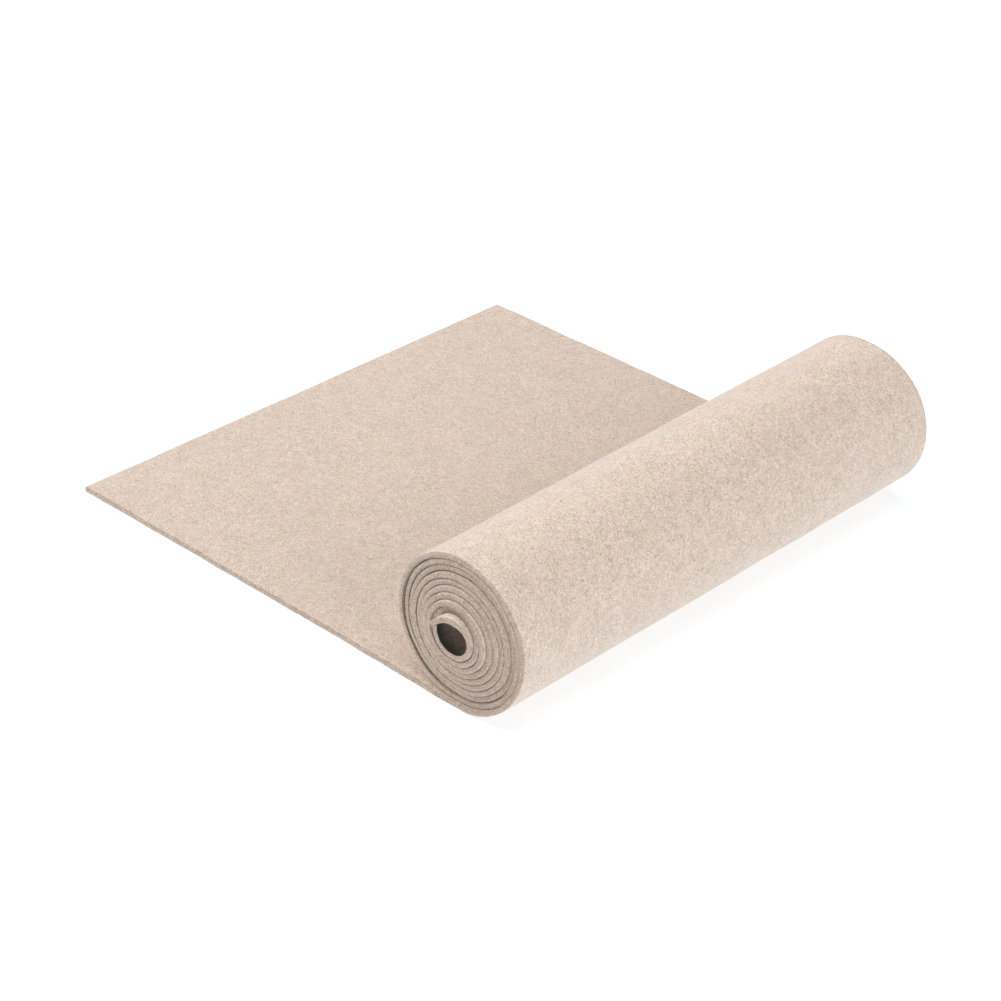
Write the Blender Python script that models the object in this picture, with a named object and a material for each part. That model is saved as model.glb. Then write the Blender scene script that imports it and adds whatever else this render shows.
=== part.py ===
"""A roll of thick felt: one cut length, wound up from one end, with the other end laid out flat.

Run it with blender --background --python part.py, or from the text editor. Metres, +Z up.
The roll's axis runs along Y, and the laid part runs from under the roll towards -X.
"""

import math
from collections import namedtuple

import bpy

# The cut length
WIDTH = 0.500
THICKNESS = 0.0049
LAID_LENGTH = 0.4452
END_OUT_OF_SQUARE = 0.018
FAR_EDGE_RUN_IN = 0.0065
SPREAD_LENGTH = 0.120

# The winding
ROLL_RADIUS = 0.0709
TURN_GAP = 0.0004
FLAT_HALF_ANGLE = math.radians(11.0)
STEPS_PER_TURN = 57
WHOLE_TURNS = 9
LAST_TURN_STEPS = 37
END_SLANT_ANGLE = math.radians(18.0)

# How much wider than TURN_GAP the space inside each turn is, a quarter of a turn apart, outermost turn first
Loose = namedtuple("Loose", "right top left bottom")
LOOSE_TURNS = [
    Loose(right=0.0, top=0.00015, left=0.0007, bottom=0.0005),
    Loose(right=0.0, top=0.0, left=0.0001, bottom=0.00005),
    Loose(right=0.0, top=0.0003, left=0.0, bottom=0.00005),
    Loose(right=0.0, top=0.0, left=0.0002, bottom=0.0002),
    Loose(right=0.0, top=0.0, left=0.0, bottom=0.0003),
    Loose(right=0.0, top=0.0, left=0.0, bottom=0.0003),
    Loose(right=0.0, top=0.0, left=0.0, bottom=0.0003),
    Loose(right=0.0002, top=0.0, left=0.0, bottom=0.0004),
    Loose(right=0.0004, top=0.0, left=0.0, bottom=0.0),
]

# How far each turn has crept out of the near end of the roll, towards -Y
Creep = namedtuple("Creep", "turn stands_out")
CREEP = [
    Creep(turn=0.0, stands_out=0.0025),
    Creep(turn=0.35, stands_out=0.0),
    Creep(turn=1.0, stands_out=0.0),
    Creep(turn=1.8, stands_out=-0.0008),
    Creep(turn=2.4, stands_out=-0.0014),
    Creep(turn=3.3, stands_out=0.0012),
    Creep(turn=4.4, stands_out=0.0014),
    Creep(turn=5.2, stands_out=0.0030),
    Creep(turn=6.0, stands_out=0.0042),
    Creep(turn=7.0, stands_out=0.0064),
    Creep(turn=7.5, stands_out=0.0080),
    Creep(turn=8.1, stands_out=0.0080),
    Creep(turn=8.4, stands_out=0.0060),
    Creep(turn=8.7, stands_out=0.0060),
    Creep(turn=8.95, stands_out=0.0080),
    Creep(turn=9.3, stands_out=0.0096),
    Creep(turn=9.5, stands_out=0.0140),
    Creep(turn=9.65, stands_out=0.0190),
]

# How much wider the outermost turn is than the rest, all of it at the far edge
Wider = namedtuple("Wider", "turn extra")
WIDER = [
    Wider(turn=0.0, extra=0.0065),
    Wider(turn=0.25, extra=0.0015),
    Wider(turn=0.5, extra=-0.0035),
    Wider(turn=0.75, extra=-0.0030),
    Wider(turn=1.0, extra=0.0),
]

FELT_COLOUR = (0.62, 0.54, 0.47, 1.0)
FELT_ROUGHNESS = 0.95
SHARP_EDGE_ANGLE = math.radians(40.0)

# One place along the cloth: the outer and inner face in the roll's section, and where its two edges are
Station = namedtuple("Station", "outer inner near_y far_y far_shift")


def smooth_between(low, high, share):
    """From low to high, level at both ends."""
    return low + (high - low) * (1.0 - math.cos(math.pi * share)) / 2.0


def gap_inside(turn):
    """The space between the cloth at this many turns and the turn inside it."""
    quarters = [0.0]
    for row in LOOSE_TURNS:
        quarters += row
    place = turn * len(Loose._fields)
    first = min(int(place), len(quarters) - 2)
    return TURN_GAP + smooth_between(quarters[first], quarters[first + 1], place - first)


def at_turn(table, turn):
    """The table's value at this many turns."""
    for (low_turn, low), (high_turn, high) in zip(table, table[1:]):
        if turn <= high_turn:
            return smooth_between(low, high, (turn - low_turn) / (high_turn - low_turn))
    return table[-1][1]


def edges_at(turn):
    """Where the near and the far edge are at this many turns, from the near end of the roll."""
    near = -at_turn(CREEP, turn)
    return near, near + WIDTH + at_turn(WIDER, turn)


def outer_radius(whole, share):
    """Each turn lies inside the one before it by the cloth's thickness and the gap there."""
    radius = ROLL_RADIUS - (THICKNESS + TURN_GAP) * share
    for turn in range(whole):
        radius -= THICKNESS + gap_inside(turn + share)
    return radius


def on_ray(radius, angle):
    """A point of the section at this radius, its angle counted from the bottom towards +X."""
    axis_height = ROLL_RADIUS * math.cos(FLAT_HALF_ANGLE)
    return (radius * math.sin(angle), axis_height - radius * math.cos(angle))


def laid_station(near_x, near_y, far_y, far_shift):
    """A place on the laid part, where the outer face is the underside."""
    return Station((near_x, 0.0), (near_x, THICKNESS), near_y, far_y, far_shift)


def laid_stations():
    """The laid part: its free end, where it starts to spread towards the roll, and where the roll starts."""
    roll_x = on_ray(ROLL_RADIUS, -FLAT_HALF_ANGLE)[0]
    near, far = edges_at(0.0)
    free_far = WIDTH - FAR_EDGE_RUN_IN
    share = SPREAD_LENGTH / (LAID_LENGTH + roll_x)
    spread_far = far + (free_far - far) * share
    return [
        laid_station(-LAID_LENGTH, 0.0, free_far, END_OUT_OF_SQUARE),
        laid_station(roll_x - SPREAD_LENGTH, 0.0, spread_far, END_OUT_OF_SQUARE * share),
        laid_station(roll_x, near, far, 0.0),
    ]


def wound_station(whole, step, slant=0.0):
    """A place in the roll, some steps past the flat spot of this turn. The inner face runs on by the slant."""
    share = step / STEPS_PER_TURN
    step_angle = 2.0 * (math.pi - FLAT_HALF_ANGLE) / STEPS_PER_TURN
    angle = FLAT_HALF_ANGLE + step * step_angle
    half_facet = FLAT_HALF_ANGLE if step in (0, STEPS_PER_TURN) else step_angle / 2.0
    radius = outer_radius(whole, share)
    inner_radius = radius - THICKNESS / math.cos(half_facet)
    return Station(on_ray(radius, angle), on_ray(inner_radius, angle + slant), *edges_at(whole + share), 0.0)


def stations():
    """The whole length of the cloth, from the free end to the end in the middle of the roll."""
    found = laid_stations()
    for whole in range(WHOLE_TURNS):
        found += [wound_station(whole, step) for step in range(STEPS_PER_TURN + 1)]
    found += [wound_station(WHOLE_TURNS, step) for step in range(LAST_TURN_STEPS)]
    found.append(wound_station(WHOLE_TURNS, LAST_TURN_STEPS, END_SLANT_ANGLE))
    return found


def felt_material():
    """Pale beige wool felt."""
    material = bpy.data.materials.new("felt")
    material.use_nodes = True
    shader = material.node_tree.nodes["Principled BSDF"]
    shader.inputs["Base Color"].default_value = FELT_COLOUR
    shader.inputs["Roughness"].default_value = FELT_ROUGHNESS
    shader.inputs["Metallic"].default_value = 0.0
    return material


def felt_roll():
    """One closed solid: a ring of four corners at each station, joined to the next, with both ends closed."""
    corners = []
    for place in stations():
        (outer_x, outer_z), (inner_x, inner_z) = place.outer, place.inner
        corners += [
            (outer_x, place.near_y, outer_z),
            (inner_x, place.near_y, inner_z),
            (inner_x + place.far_shift, place.far_y, inner_z),
            (outer_x + place.far_shift, place.far_y, outer_z),
        ]
    middle = [(min(c[i] for c in corners) + max(c[i] for c in corners)) / 2.0 for i in (0, 1)]
    corners = [(x - middle[0], y - middle[1], z) for x, y, z in corners]
    faces = [(0, 1, 2, 3)]
    last = len(corners) - 4
    for start in range(0, last, 4):
        for side in range(4):
            follow = (side + 1) % 4
            faces.append((start + side, start + 4 + side, start + 4 + follow, start + follow))
    faces.append((last + 3, last + 2, last + 1, last))
    mesh = bpy.data.meshes.new("felt_roll")
    mesh.from_pydata(corners, [], faces)
    mesh.validate()
    mesh.shade_smooth()
    mesh.set_sharp_from_angle(angle=SHARP_EDGE_ANGLE)
    mesh.materials.append(felt_material())
    roll = bpy.data.objects.new("felt_roll", mesh)
    bpy.context.scene.collection.objects.link(roll)
    return roll


def main():
    for thing in list(bpy.data.objects):
        bpy.data.objects.remove(thing)
    felt_roll()


main()
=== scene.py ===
"""The looks of a roll of thick, pale felt: one cut length, wound up, with its outer end laid out flat.

Everything is in metres, +Z up. The roll's axis runs along Y, and the laid part runs towards -X.
The cloth is worked out as a line in the roll's section. Its edges, unevenness and fibres follow that line.
"""

import math
from collections import namedtuple

import bmesh
import bpy
import numpy as np
from mathutils import Matrix, Vector


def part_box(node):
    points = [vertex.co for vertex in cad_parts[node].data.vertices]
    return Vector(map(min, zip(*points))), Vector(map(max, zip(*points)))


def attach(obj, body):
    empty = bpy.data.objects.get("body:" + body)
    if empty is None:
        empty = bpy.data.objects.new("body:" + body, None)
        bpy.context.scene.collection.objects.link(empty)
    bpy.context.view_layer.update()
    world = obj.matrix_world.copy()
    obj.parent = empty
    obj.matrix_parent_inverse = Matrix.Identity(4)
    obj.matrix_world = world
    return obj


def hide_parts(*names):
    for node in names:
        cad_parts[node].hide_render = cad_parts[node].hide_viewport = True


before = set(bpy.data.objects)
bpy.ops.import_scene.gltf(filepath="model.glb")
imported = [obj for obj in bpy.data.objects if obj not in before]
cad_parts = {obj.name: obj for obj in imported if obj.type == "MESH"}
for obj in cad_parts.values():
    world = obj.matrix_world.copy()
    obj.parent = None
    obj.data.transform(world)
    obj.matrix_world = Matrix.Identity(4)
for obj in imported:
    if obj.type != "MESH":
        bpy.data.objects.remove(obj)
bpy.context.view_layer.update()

ROLL_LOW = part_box("felt_roll")[0]

# The cut length
WIDTH = 0.500
THICKNESS = 0.0049
LAID_LENGTH = 0.4452
END_OUT_OF_SQUARE = 0.018
FAR_EDGE_RUN_IN = 0.0065
SPREAD_LENGTH = 0.120

# The winding
ROLL_RADIUS = 0.0709
TURN_GAP = 0.0004
FLAT_HALF_ANGLE = math.radians(11.0)
WHOLE_TURNS = 9
LAST_TURN_SHARE = 37.0 / 57.0
TURNS = WHOLE_TURNS + LAST_TURN_SHARE
END_SLANT_ANGLE = math.radians(18.0)

# How much wider than TURN_GAP the space inside each turn is, a quarter of a turn apart, outermost turn first
Loose = namedtuple("Loose", "right top left bottom")
LOOSE_TURNS = [
    Loose(right=0.0, top=0.00015, left=0.0007, bottom=0.0005),
    Loose(right=0.0, top=0.0, left=0.0001, bottom=0.00005),
    Loose(right=0.0, top=0.0003, left=0.0, bottom=0.00005),
    Loose(right=0.0, top=0.0, left=0.0002, bottom=0.0002),
    Loose(right=0.0, top=0.0, left=0.0, bottom=0.0003),
    Loose(right=0.0, top=0.0, left=0.0, bottom=0.0003),
    Loose(right=0.0, top=0.0, left=0.0, bottom=0.0003),
    Loose(right=0.0002, top=0.0, left=0.0, bottom=0.0004),
    Loose(right=0.0004, top=0.0, left=0.0, bottom=0.0),
]

# How far each turn has crept out of the near end of the roll, towards -Y
Creep = namedtuple("Creep", "turn stands_out")
CREEP = [
    Creep(turn=0.0, stands_out=0.0025),
    Creep(turn=0.35, stands_out=0.0),
    Creep(turn=1.0, stands_out=0.0),
    Creep(turn=1.8, stands_out=-0.0008),
    Creep(turn=2.4, stands_out=-0.0014),
    Creep(turn=3.3, stands_out=0.0012),
    Creep(turn=4.4, stands_out=0.0014),
    Creep(turn=5.2, stands_out=0.0030),
    Creep(turn=6.0, stands_out=0.0042),
    Creep(turn=7.0, stands_out=0.0064),
    Creep(turn=7.5, stands_out=0.0080),
    Creep(turn=8.1, stands_out=0.0080),
    Creep(turn=8.4, stands_out=0.0060),
    Creep(turn=8.7, stands_out=0.0060),
    Creep(turn=8.95, stands_out=0.0080),
    Creep(turn=9.3, stands_out=0.0096),
    Creep(turn=9.5, stands_out=0.0140),
    Creep(turn=9.65, stands_out=0.0190),
]

# How much wider the outermost turn is than the rest, all of it at the far edge
Wider = namedtuple("Wider", "turn extra")
WIDER = [
    Wider(turn=0.0, extra=0.0065),
    Wider(turn=0.25, extra=0.0015),
    Wider(turn=0.5, extra=-0.0035),
    Wider(turn=0.75, extra=-0.0030),
    Wider(turn=1.0, extra=0.0),
]

# The cloth's mesh
STEPS_PER_TURN = 100
STEPS_ACROSS_FLAT = 6
LAID_STEP = 0.0050
ROWS_ACROSS = 26
ROWS_TO_EDGES = 0.055
EDGE_ROUND = 0.0007
EDGE_ROUND_STEPS = 4
EDGE_FACE_STEPS = 2
KINK_SMOOTHING = 6
EDGE_SMOOTHING = 30
END_SLANT_RUN = 0.004
ROUNDING = 1e-9
JUST_UNDER_ONE = 1.0 - 1e-7

# How uneven the faces that show are, and the cut edges, which also draw a narrow rim of the cloth with them
Waves = namedtuple("Waves", "height lengths seed")
FACE_WAVES = Waves(height=0.00022, lengths=(0.17, 0.11, 0.083, 0.24, 0.058), seed=21)
EDGE_WANDER = Waves(height=0.00030, lengths=(0.13, 0.071, 0.043, 0.29), seed=11)
EDGE_RAGGED = Waves(height=0.00010, lengths=(0.0083, 0.0047, 0.0121, 0.0061), seed=12)
OUTSIDE_TURNS = 1.2
RIM_WIDTH = 0.02

# The camera
CAMERA_LENS = 123.31
CAMERA_SENSOR = 36.0
CAMERA_AZIMUTH = math.radians(42.57)
CAMERA_ELEVATION = math.radians(31.82)
CAMERA_ROLL = math.radians(1.84)
CAMERA_DISTANCE = 2.6883
CAMERA_AIM_RIGHT = 0.0337
CAMERA_AIM_UP = 0.1615

# The floor and the light
WHITE = (1.0, 1.0, 1.0, 1.0)
FLOOR_SIZE = 12.0
FLOOR_DROP = 0.0002
FLOOR_COLOUR = (0.70, 0.76, 0.81, 1.0)
FLOOR_ROUGHNESS = 0.9
FLOOR_SPECULAR = 0.1
FLOOR_GLOW = 0.46
SKY_STRENGTH = 0.35

# The felt's colours and its matt finish
FELT_SHADE = (0.460, 0.341, 0.273, 1.0)
FELT_LIGHT = (0.900, 0.758, 0.642, 1.0)
PINK_TINT = (1.010, 0.990, 1.005)
YELLOW_TINT = (0.992, 1.000, 0.980)
DARK_HAIR = (0.240, 0.170, 0.130, 1.0)
LIGHT_HAIR = (0.980, 0.900, 0.830, 1.0)
FELT_ROUGHNESS = 0.95
FELT_SPECULAR = 0.2
FELT_SHEEN = 0.35
FELT_SHEEN_ROUGHNESS = 0.6
FELT_BUMP = 0.7
FELT_BUMP_DEPTH = 0.0004

# Uneven patches in the felt: how many to a metre, how finely they break up, and how much they change the tone
Mottle = namedtuple("Mottle", "scale detail roughness strength")
GRAIN = Mottle(scale=520.0, detail=2.0, roughness=0.6, strength=1.20)
MOTTLES = [
    Mottle(scale=45.0, detail=2.0, roughness=0.5, strength=0.22),
    Mottle(scale=170.0, detail=2.0, roughness=0.5, strength=0.45),
    Mottle(scale=1150.0, detail=1.0, roughness=0.5, strength=1.80),
]
TINT_SCALE = 55.0
TINT_DETAIL = 3.0
TINT_REACH = (0.38, 0.62)

# How finely and how far the places of the grain and the hairs are moved about
DRIFT_SCALE = 300.0
DRIFT_DETAIL = 1.0
DRIFT_LENGTH = 0.0022

# The darker upper face; the cut edges, darker partly in their own browner tone and partly by painted shade on
# the end faces, which get less light; and how far in from the edge the cut's darkening starts and is full
UPPER_SHADE = (0.895, 0.895, 0.895)
CUT_TONE_AND_SHADE = (0.772, 0.728, 0.690)
CUT_CONTRAST = 1.6
CUT_REACH = (0.0012, 0.0006)

# The painted shade that draws dark lines between the turns: the depths under the inner face at which it
# starts and is full, its strength by the turn, and the side of the roll towards which it fades
GAP_SHADE = (0.36, 0.28, 0.22)
GAP_DEPTH = (0.0013, 0.0005)
GAP_TURNS = (0.3, 0.6, 1.2, 1.6, 3.2, 4.5, 8.6)
GAP_STRENGTH = (0.0, 0.7, 0.7, 1.0, 1.0, 0.6, 0.5)
GAP_SHADE_FADE_RIGHT = 0.94
GAP_SHADE_FADE_UP = 0.34
GAP_FALLOFF = 1.6

# Painted shade on the inside of the core: it starts just in from the rim, and fades deeper in
CORE_TURNS = 1.02
CORE_SHADE = (0.085, 0.088, 0.088)
CORE_RIM = (0.0001, 0.0007)
CORE_DEPTH = (0.0020, 0.0200)

# Layers of hairs in the felt's face, one hair to a cell: light ones stand up from it, and dark ones lie lower
Hair = namedtuple("Hair", "cell length width strength colour relief seed")
HAIRS = [
    Hair(cell=0.0034, length=0.0040, width=0.00040, strength=0.65, colour=DARK_HAIR, relief=-0.3, seed=1),
    Hair(cell=0.0030, length=0.0036, width=0.00042, strength=0.45, colour=LIGHT_HAIR, relief=0.5, seed=2),
    Hair(cell=0.0062, length=0.0070, width=0.00050, strength=0.55, colour=DARK_HAIR, relief=-0.3, seed=3),
    Hair(cell=0.0056, length=0.0066, width=0.00046, strength=0.40, colour=LIGHT_HAIR, relief=0.5, seed=4),
]
HAIR_SHIFT = (1.37, 0.73, 0.11)
HAIR_TILT = 0.25
HAIR_SOLID_SHARE = 0.3

Lamp = namedtuple("Lamp", "name place size power")
LAMPS = [
    Lamp(name="overhead", place=(0.0, -0.2, 3.0), size=3.4, power=40.0),
    Lamp(name="left", place=(-2.6, -0.6, 1.9), size=2.0, power=66.0),
    Lamp(name="right", place=(3.0, -0.6, 1.7), size=1.8, power=36.0),
]


def smooth_between(low, high, share):
    """From low to high, level at both ends."""
    return low + (high - low) * (1.0 - math.cos(math.pi * share)) / 2.0


def gap_inside(turn):
    """The space between the cloth at this many turns and the turn inside it."""
    quarters = [0.0]
    for row in LOOSE_TURNS:
        quarters += row
    place = turn * len(Loose._fields)
    first = min(int(place), len(quarters) - 2)
    return TURN_GAP + smooth_between(quarters[first], quarters[first + 1], place - first)


def at_turn(table, turn):
    """The table's value at this many turns."""
    for (low_turn, low), (high_turn, high) in zip(table, table[1:]):
        if turn <= high_turn:
            return smooth_between(low, high, (turn - low_turn) / (high_turn - low_turn))
    return table[-1][1]


def edges_at(turn):
    """Where the near and the far edge are at this many turns, from the near end of the roll."""
    near = -at_turn(CREEP, turn)
    return near, near + WIDTH + at_turn(WIDER, turn)


def middle_radius(whole, share):
    """The radius of the middle of the cloth. Each turn lies inside the one before it."""
    radius = ROLL_RADIUS - THICKNESS / 2.0 - (THICKNESS + TURN_GAP) * share
    for turn in range(whole):
        radius -= THICKNESS + gap_inside(turn + share)
    return radius


# One place along the cloth's middle: in the roll's section, its turn, and how its edges run
Place = namedtuple("Place", "x z turn near_y far_y far_shift")

AXIS_X = ROLL_LOW.x + LAID_LENGTH
NEAR_Y = ROLL_LOW.y - edges_at(TURNS)[0]
AXIS_Z = ROLL_RADIUS * math.cos(FLAT_HALF_ANGLE)


def wound_place(turn):
    """A place in the roll. Each turn is a round stretch, and a flat one leads from it to the next."""
    whole = int(turn + ROUNDING)
    share = turn - whole
    angle = FLAT_HALF_ANGLE + share * 2.0 * (math.pi - FLAT_HALF_ANGLE)
    radius = middle_radius(whole, share)
    near, far = edges_at(turn)
    x = AXIS_X + radius * math.sin(angle)
    z = AXIS_Z - radius * math.cos(angle)
    return Place(x, z, turn, NEAR_Y + near, NEAR_Y + far, 0.0)


def between(first, last, share):
    """A place a share of the way along the straight line from first to last."""
    return Place(*(a + (b - a) * share for a, b in zip(first, last)))


def cloth_places():
    """The places along the cloth, from the free end to the end in the middle of the roll."""
    low_z = THICKNESS / 2.0
    free_x = AXIS_X - LAID_LENGTH
    free_far_y = NEAR_Y + WIDTH - FAR_EDGE_RUN_IN
    free_end = Place(free_x, low_z, 0.0, NEAR_Y, free_far_y, END_OUT_OF_SQUARE)
    near, far = edges_at(0.0)
    flat_x = AXIS_X - ROLL_RADIUS * math.sin(FLAT_HALF_ANGLE)
    flat_start = Place(flat_x, low_z, 0.0, NEAR_Y + near, NEAR_Y + far, 0.0)
    spread = between(flat_start, free_end, SPREAD_LENGTH / (flat_x - free_x))._replace(near_y=NEAR_Y)
    places = []
    for first, last in ((free_end, spread), (spread, flat_start)):
        steps = int((last.x - first.x) / LAID_STEP)
        places += [between(first, last, i / steps) for i in range(steps)]
    for whole in range(WHOLE_TURNS + 1):
        start = wound_place(float(whole))
        before = flat_start if whole == 0 else places[-1]
        flat_steps = range(0 if whole == 0 else 1, STEPS_ACROSS_FLAT)
        places += [between(before, start, i / STEPS_ACROSS_FLAT) for i in flat_steps]
        last_share = min(1.0, TURNS - whole)
        steps = round(STEPS_PER_TURN * last_share)
        shares = [min(last_share * i / steps, JUST_UNDER_ONE) for i in range(steps + 1)]
        places += [wound_place(whole + share) for share in shares]
    return places


def smoothed(values, rounds):
    """The values with each one drawn towards its neighbours, the two ends left as they are."""
    values = values.copy()
    for _ in range(rounds):
        values[1:-1] = (values[:-2] + 2.0 * values[1:-1] + values[2:]) / 4.0
    return values


def wavy(waves, *coordinates):
    """Smooth uneven waves over the coordinates, about as high as stated: a sum of sines."""
    draw = np.random.default_rng(waves.seed)
    total = 0.0
    for length in waves.lengths:
        direction = draw.normal(size=len(coordinates))
        direction /= np.linalg.norm(direction)
        along = sum(c * d for c, d in zip(coordinates, direction))
        total = total + np.sin(2.0 * math.pi * along / length + draw.uniform(0.0, 2.0 * math.pi))
    return waves.height * (total / math.sqrt(len(waves.lengths)))


def edge_profile():
    """The cloth's rounded edge, from its upper face to its lower: how far in from the edge, and how high."""
    half = THICKNESS / 2.0
    straight = half - EDGE_ROUND
    angles = [math.pi / 2.0 * i / EDGE_ROUND_STEPS for i in range(EDGE_ROUND_STEPS + 1)]
    upper = [(EDGE_ROUND * (1.0 - math.sin(a)), half - EDGE_ROUND * (1.0 - math.cos(a))) for a in angles]
    face = [(0.0, straight * (1.0 - 2.0 * i / EDGE_FACE_STEPS)) for i in range(1, EDGE_FACE_STEPS)]
    lower = [(inset, -height) for inset, height in reversed(upper)]
    return upper + face + lower


def end_inset(distance):
    """How much thinner each face is this far from a cut end, where the cloth's end is rounded too."""
    short = np.clip(EDGE_ROUND - distance, 0.0, EDGE_ROUND)
    return EDGE_ROUND - np.sqrt(EDGE_ROUND ** 2 - short ** 2)


def cloth_line():
    """The smoothed line of the cloth's middle, as columns of values at growing distances along it."""
    places = cloth_places()
    column = {name: np.array([getattr(p, name) for p in places]) for name in Place._fields}
    column["x"] = smoothed(column["x"], KINK_SMOOTHING)
    column["z"] = smoothed(column["z"], KINK_SMOOTHING)
    column["near_y"] = smoothed(column["near_y"], EDGE_SMOOTHING)
    column["far_y"] = smoothed(column["far_y"], EDGE_SMOOTHING)
    steps = np.hypot(np.diff(column["x"]), np.diff(column["z"]))
    along = np.concatenate([[0.0], np.cumsum(steps)])

    # More places close to the two cut ends, where they are rounded
    close = EDGE_ROUND * (1.0 - np.cos(np.linspace(0.0, math.pi / 2.0, EDGE_ROUND_STEPS + 1)))[1:]
    wanted = np.unique(np.concatenate([along, close, along[-1] - close]))
    column = {name: np.interp(wanted, along, values) for name, values in column.items()}
    column["along"] = wanted
    tangent_x = np.gradient(column["x"], wanted)
    tangent_z = np.gradient(column["z"], wanted)
    size = np.hypot(tangent_x, tangent_z)
    column["tangent_x"] = tangent_x / size
    column["tangent_z"] = tangent_z / size
    return column


def ring():
    """The places around the cloth at one station: over the top, down the far edge, back, up the near edge.

    Each is its share of the way across, how far in from that edge it lies, and its height over the middle.
    """
    half = THICKNESS / 2.0
    even = np.linspace(0.0, 1.0, ROWS_ACROSS + 2)[1:-1]
    shares = even - ROWS_TO_EDGES * np.sin(2.0 * math.pi * even)
    edge_in = np.array([inset for inset, height in edge_profile()])
    edge_height = np.array([height for inset, height in edge_profile()])
    level = np.zeros(len(shares))
    across = np.concatenate([shares, np.ones(len(edge_in)), shares[::-1], np.zeros(len(edge_in))])
    inwards = np.concatenate([level, -edge_in, level, edge_in])
    height = np.concatenate([level + half, edge_height, level - half, -edge_height])
    return across, inwards, height


def cloth_points():
    """The points of the felt's surface, one row for each station, with their places in the flat cloth."""
    line = cloth_line()
    across, inwards, height = (values[None, :] for values in ring())
    along = line["along"][:, None] + 0.0 * across
    length = line["along"][-1]
    half = THICKNESS / 2.0
    column = {name: values[:, None] for name, values in line.items()}

    # The edges wander a little, and are cut a little ragged
    rim = np.clip(1.0 - np.minimum(across, 1.0 - across) * WIDTH / RIM_WIDTH, 0.0, 1.0)
    side = np.where(across < 0.5, 0.0, 1.0)
    uneven_edge = wavy(EDGE_WANDER, along, side) + wavy(EDGE_RAGGED, along, side)
    width = column["far_y"] - column["near_y"]
    y = column["near_y"] + width * across + inwards + rim * uneven_edge

    # The two faces, which close in at the cut ends and wave a little where they show
    closing = end_inset(np.minimum(along, length - along))
    offset = np.clip(height, closing - half, half - closing)
    laid_top = (height > 0.0) & (along < LAID_LENGTH)
    roll_outside = (height < 0.0) & (along > LAID_LENGTH) & (column["turn"] < OUTSIDE_TURNS)
    uneven_face = wavy(FACE_WAVES, along, y)
    offset = offset + np.where(laid_top | roll_outside, uneven_face * offset / half, 0.0)

    # The inner end is cut at a slant
    slant = np.clip(1.0 - (length - along) / END_SLANT_RUN, 0.0, 1.0) * math.tan(END_SLANT_ANGLE) * offset
    tangent_x, tangent_z = column["tangent_x"], column["tangent_z"]
    x = column["x"] + column["far_shift"] * across - tangent_z * offset + tangent_x * slant
    z = column["z"] + tangent_x * offset + tangent_z * slant
    points = np.stack([x, y, np.maximum(z, 0.0)], axis=2)
    flat = np.stack([along, y - column["near_y"], offset], axis=2)

    # How far in from the nearer edge each point lies, and whether it is on the inner face round the core
    edge_in = np.minimum(across, 1.0 - across) * width + np.abs(inwards)
    in_core = (column["turn"] > TURNS - CORE_TURNS) & (height > 0.0) & (along < length - EDGE_ROUND)
    core = np.where(in_core, 1.0, 0.0)

    # How strong the painted shade in the gap inside each turn is: most at the left, and hardly at the right
    right, up = column["x"] - AXIS_X, column["z"] - AXIS_Z
    closed = (GAP_SHADE_FADE_RIGHT * right + GAP_SHADE_FADE_UP * up) / np.hypot(right, up)
    gap = (0.5 - 0.5 * closed) ** GAP_FALLOFF * np.interp(column["turn"], GAP_TURNS, GAP_STRENGTH)
    gap = np.where(column["turn"] < TURNS - 1.0, gap, 0.0) + 0.0 * across
    return points, {"flat_place": flat, "edge_in": edge_in, "core": core, "gap": gap}


def end_faces(row):
    """Faces that close a ring of points, each joining two neighbours on one side to the two facing them."""
    count = len(row)
    edge_points = len(edge_profile())
    near_middle = count - 1 - edge_points // 2
    half_way = [(near_middle + i) % count for i in range(count // 2 + 1)]
    facing = [(near_middle - i) % count for i in range(count // 2 + 1)]
    faces = []
    for a, b, c, d in zip(half_way, half_way[1:], facing[1:], facing):
        corners = [row[i] for i in (a, b, c, d)]
        faces.append(tuple(dict.fromkeys(corners)))
    return faces


def felt_piece():
    """The felt as one closed mesh."""
    points, noted = cloth_points()
    rows, columns = points.shape[:2]
    index = np.arange(rows * columns).reshape(rows, columns)
    after = np.roll(index, -1, axis=1)
    corners = (index[:-1], index[1:], after[1:], after[:-1])
    faces = np.stack([c.ravel() for c in corners], axis=1).tolist()
    faces += end_faces(index[0].tolist()) + end_faces(index[-1].tolist())
    mesh = bpy.data.meshes.new("felt")
    mesh.from_pydata(points.reshape(-1, 3).tolist(), [], faces)
    for name, values in noted.items():
        kind, field = ("FLOAT_VECTOR", "vector") if values.ndim == 3 else ("FLOAT", "value")
        attribute = mesh.attributes.new(name, kind, "POINT")
        attribute.data.foreach_set(field, values.reshape(-1).astype(np.float32))
    shaped = bmesh.new()
    shaped.from_mesh(mesh)
    bmesh.ops.recalc_face_normals(shaped, faces=shaped.faces)
    shaped.to_mesh(mesh)
    shaped.free()
    mesh.shade_smooth()
    piece = bpy.data.objects.new("felt", mesh)
    bpy.context.scene.collection.objects.link(piece)
    return piece, noted["flat_place"][-1, 0, 0]


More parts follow.
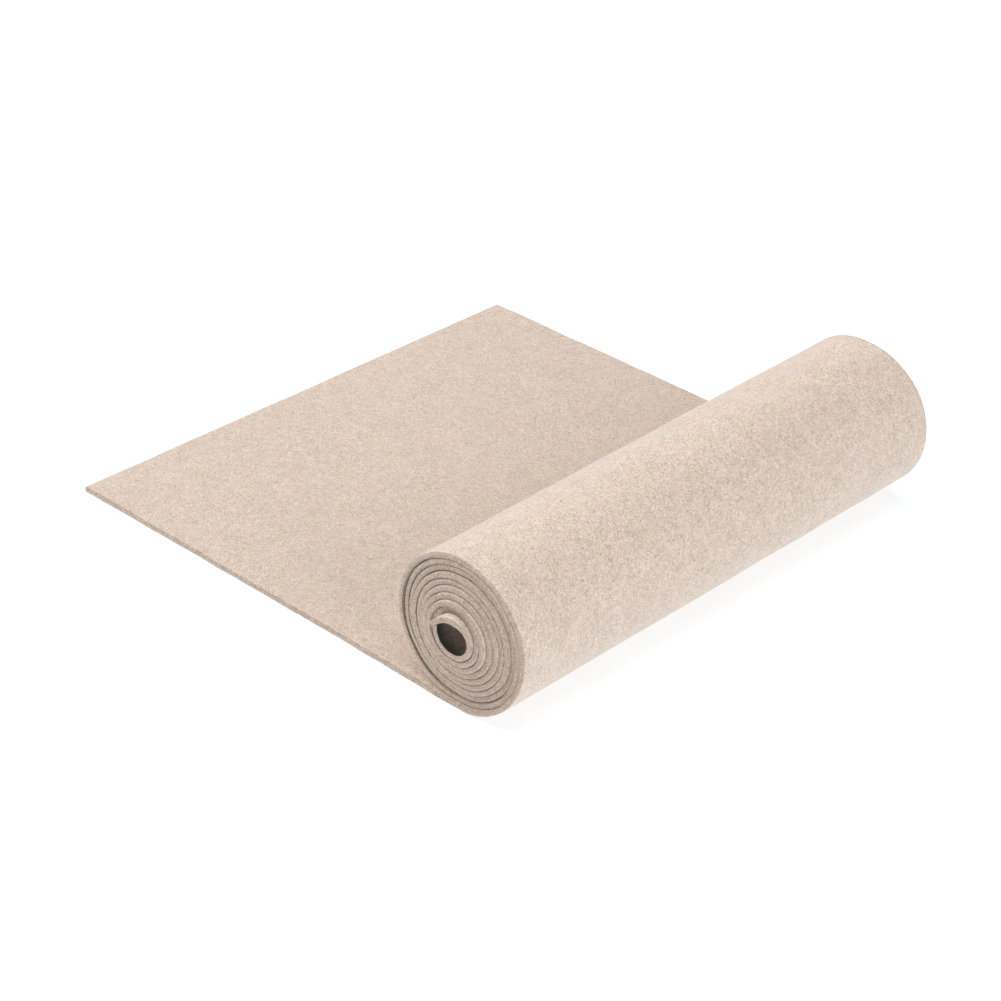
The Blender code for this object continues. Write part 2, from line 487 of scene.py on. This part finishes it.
class Nodes:
    """A short way to write a material's nodes: each call adds one and returns its output."""

    def __init__(self, tree):
        self.tree = tree

    def add(self, kind, output=0, settings=None, **inputs):
        """A node and its inputs, given by name, or by number after an underscore."""
        node = self.tree.nodes.new(kind)
        for name, value in (settings or {}).items():
            setattr(node, name, value)
        for name, value in inputs.items():
            socket = node.inputs[int(name[1:])] if name[0] == "_" else node.inputs[name.replace("_", " ")]
            if isinstance(value, bpy.types.NodeSocket):
                self.tree.links.new(value, socket)
            else:
                socket.default_value = value
        return node.outputs[output]

    def math(self, operation, a, b=0.0, c=0.0):
        return self.add("ShaderNodeMath", settings={"operation": operation}, _0=a, _1=b, _2=c)

    def vector(self, operation, a, b=(0.0, 0.0, 0.0), output=0):
        return self.add("ShaderNodeVectorMath", output, {"operation": operation}, _0=a, _1=b)

    def scaled(self, vector, scale):
        return self.add("ShaderNodeVectorMath", settings={"operation": "SCALE"}, _0=vector, _3=scale)

    def noise(self, place, scale, detail, roughness=0.5, output=0):
        return self.add("ShaderNodeTexNoise", output,
                        Vector=place, Scale=scale, Detail=detail, Roughness=roughness)

    def spread(self, value, low, high):
        """Value from low to high becomes 0 to 1, smoothly, and stays there beyond."""
        return self.add("ShaderNodeMapRange", settings={"interpolation_type": "SMOOTHSTEP"},
                        Value=value, From_Min=low, From_Max=high)

    def toned(self, tone, place, mottle):
        """The tone with these patches added to it, and the patches themselves."""
        patches = self.noise(place, mottle.scale, mottle.detail, mottle.roughness)
        change = self.math("SUBTRACT", patches, 0.5)
        return self.math("MULTIPLY_ADD", change, mottle.strength, tone), patches

    def noted(self, name):
        """The value noted under this name at the mesh's points."""
        return self.add("ShaderNodeAttribute", 2, {"attribute_name": name})

    def darker(self, colour, share, shade):
        """The colour, multiplied by the shade to this share."""
        return self.vector("MULTIPLY", colour, self.blend(share, WHITE, shade + (1.0,)))

    def blend(self, share, first, second):
        """A colour between first and second."""
        return self.add("ShaderNodeMix", 2, {"data_type": "RGBA"}, _0=share, _6=first, _7=second)


def hairs(nodes, place, hair):
    """A layer of short hairs, one in each cell of a random pattern: 1 on a hair and 0 beside it."""
    moved = nodes.vector("ADD", place, tuple(hair.seed * shift for shift in HAIR_SHIFT))
    middle = nodes.add("ShaderNodeTexVoronoi", 2, {"feature": "F1"}, Vector=moved, Scale=1.0 / hair.cell)
    random_colour = nodes.tree.nodes[-1].outputs["Color"]
    local = nodes.vector("SUBTRACT", moved, middle)
    lean = nodes.vector("SUBTRACT", random_colour, (0.5, 0.5, 0.5))
    lean = nodes.vector("NORMALIZE", nodes.vector("MULTIPLY", lean, (1.0, 1.0, HAIR_TILT)))
    run = nodes.vector("DOT_PRODUCT", local, lean, output=1)
    reach = nodes.vector("LENGTH", local, output=1)
    aside = nodes.math("SUBTRACT", nodes.math("MULTIPLY", reach, reach), nodes.math("MULTIPLY", run, run))
    aside = nodes.math("SQRT", nodes.math("MAXIMUM", aside, 0.0))
    thin = nodes.spread(aside, hair.width, hair.width * HAIR_SOLID_SHARE)
    short = nodes.spread(nodes.math("ABSOLUTE", run), hair.length / 2.0, hair.length / 3.0)
    return nodes.math("MULTIPLY", thin, short)


def felt_material():
    """Pressed wool felt: pale warm beige, mottled by its lighter and darker hairs."""
    material = bpy.data.materials.new("felt")
    material.use_nodes = True
    tree = material.node_tree
    shader = tree.nodes["Principled BSDF"]
    nodes = Nodes(tree)
    place = nodes.add("ShaderNodeAttribute", 1, {"attribute_name": "flat_place"})
    drift = nodes.noise(place, DRIFT_SCALE, DRIFT_DETAIL, output=1)
    drift = nodes.scaled(nodes.vector("SUBTRACT", drift, (0.5, 0.5, 0.5)), DRIFT_LENGTH)
    moved = nodes.vector("ADD", place, drift)
    tone, relief = nodes.toned(0.5, moved, GRAIN)
    for mottle in MOTTLES:
        tone = nodes.toned(tone, place, mottle)[0]

    # The cut edges show more contrast
    edge_in = nodes.noted("edge_in")
    cut = nodes.spread(edge_in, *CUT_REACH)
    contrast = nodes.math("MULTIPLY_ADD", cut, CUT_CONTRAST - 1.0, 1.0)
    tone = nodes.math("MULTIPLY_ADD", nodes.math("SUBTRACT", tone, 0.5), contrast, 0.5)
    colour = nodes.blend(tone, FELT_SHADE, FELT_LIGHT)
    tinted = nodes.spread(nodes.noise(place, TINT_SCALE, TINT_DETAIL), *TINT_REACH)
    colour = nodes.vector("MULTIPLY", colour, nodes.blend(tinted, PINK_TINT + (1.0,), YELLOW_TINT + (1.0,)))
    for hair in HAIRS:
        layer = hairs(nodes, moved, hair)
        colour = nodes.blend(nodes.math("MULTIPLY", layer, hair.strength), colour, hair.colour)
        relief = nodes.math("MULTIPLY_ADD", layer, hair.relief, relief)

    # The upper face is darker; the cut edges are darker in their own tone and by painted shade; and painted
    # shade darkens the gaps between the turns and the inside of the core, which also loses its sheen
    height = nodes.add("ShaderNodeSeparateXYZ", 2, Vector=place)
    half = THICKNESS / 2.0
    upper = nodes.spread(height, -half, half)
    colour = nodes.darker(colour, upper, UPPER_SHADE)
    colour = nodes.darker(colour, cut, CUT_TONE_AND_SHADE)
    gap = nodes.spread(height, half - GAP_DEPTH[0], half - GAP_DEPTH[1])
    gap = nodes.math("MULTIPLY", gap, nodes.noted("gap"))
    colour = nodes.darker(colour, gap, GAP_SHADE)
    core = nodes.math("MULTIPLY", nodes.noted("core"), nodes.spread(edge_in, *CORE_RIM))
    core = nodes.math("MULTIPLY", core, nodes.spread(edge_in, *reversed(CORE_DEPTH)))
    colour = nodes.darker(colour, core, CORE_SHADE)
    sheen = nodes.math("MULTIPLY_ADD", core, -FELT_SHEEN, FELT_SHEEN)
    tree.links.new(colour, shader.inputs["Base Color"])
    bump = nodes.add("ShaderNodeBump", Height=relief, Strength=FELT_BUMP, Distance=FELT_BUMP_DEPTH)
    tree.links.new(bump, shader.inputs["Normal"])
    shader.inputs["Roughness"].default_value = FELT_ROUGHNESS
    shader.inputs["Specular IOR Level"].default_value = FELT_SPECULAR
    tree.links.new(sheen, shader.inputs["Sheen Weight"])
    shader.inputs["Sheen Roughness"].default_value = FELT_SHEEN_ROUGHNESS
    return material


def floor():
    """The plain pale floor that the felt lies on."""
    pale = bpy.data.materials.new("floor")
    pale.use_nodes = True
    shader = pale.node_tree.nodes["Principled BSDF"]
    shader.inputs["Base Color"].default_value = FLOOR_COLOUR
    shader.inputs["Roughness"].default_value = FLOOR_ROUGHNESS
    shader.inputs["Specular IOR Level"].default_value = FLOOR_SPECULAR
    shader.inputs["Emission Color"].default_value = WHITE
    shader.inputs["Emission Strength"].default_value = FLOOR_GLOW
    half = FLOOR_SIZE / 2.0
    corners = [(-half, -half, 0.0), (half, -half, 0.0), (half, half, 0.0), (-half, half, 0.0)]
    mesh = bpy.data.meshes.new("floor")
    mesh.from_pydata(corners, [], [(0, 1, 2, 3)])
    mesh.materials.append(pale)
    ground = bpy.data.objects.new("floor", mesh)
    ground.location.z = -FLOOR_DROP
    bpy.context.scene.collection.objects.link(ground)


def sky():
    """Even white light from all around."""
    world = bpy.data.worlds.new("studio")
    world.use_nodes = True
    background = world.node_tree.nodes["Background"]
    background.inputs["Color"].default_value = WHITE
    background.inputs["Strength"].default_value = SKY_STRENGTH
    bpy.context.scene.world = world


def soft_lamps():
    """Large soft lamps, each facing the felt."""
    for lamp in LAMPS:
        light = bpy.data.lights.new(lamp.name, "AREA")
        light.shape = "DISK"
        light.size = lamp.size
        light.energy = lamp.power
        fixture = bpy.data.objects.new(lamp.name, light)
        place = Vector(lamp.place)
        fixture.location = place
        fixture.rotation_euler = (-place).to_track_quat("-Z", "Y").to_euler()
        bpy.context.scene.collection.objects.link(fixture)


def camera():
    """The camera, placed by its angles and its distance from the point that it looks at."""
    a, e, r = CAMERA_AZIMUTH, CAMERA_ELEVATION, CAMERA_ROLL
    back = Vector((math.sin(a) * math.cos(e), -math.cos(a) * math.cos(e), math.sin(e)))
    level_right = Vector((math.cos(a), math.sin(a), 0.0))
    level_up = back.cross(level_right)
    right = level_right * math.cos(r) + level_up * math.sin(r)
    up = level_up * math.cos(r) - level_right * math.sin(r)
    start = Vector((AXIS_X, NEAR_Y, 0.0))
    aim = start + right * CAMERA_AIM_RIGHT + up * CAMERA_AIM_UP
    data = bpy.data.cameras.new("camera")
    data.lens = CAMERA_LENS
    data.sensor_width = CAMERA_SENSOR
    eye = bpy.data.objects.new("camera", data)
    turned = Matrix((right, up, back)).transposed().to_4x4()
    eye.matrix_world = Matrix.Translation(aim + back * CAMERA_DISTANCE) @ turned
    bpy.context.scene.collection.objects.link(eye)
    bpy.context.scene.camera = eye


def main():
    bpy.context.scene.view_settings.view_transform = "Standard"
    camera()
    felt, length = felt_piece()
    felt.data.materials.append(felt_material())
    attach(felt, "root")
    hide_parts("felt_roll")
    floor()
    sky()
    soft_lamps()


main()
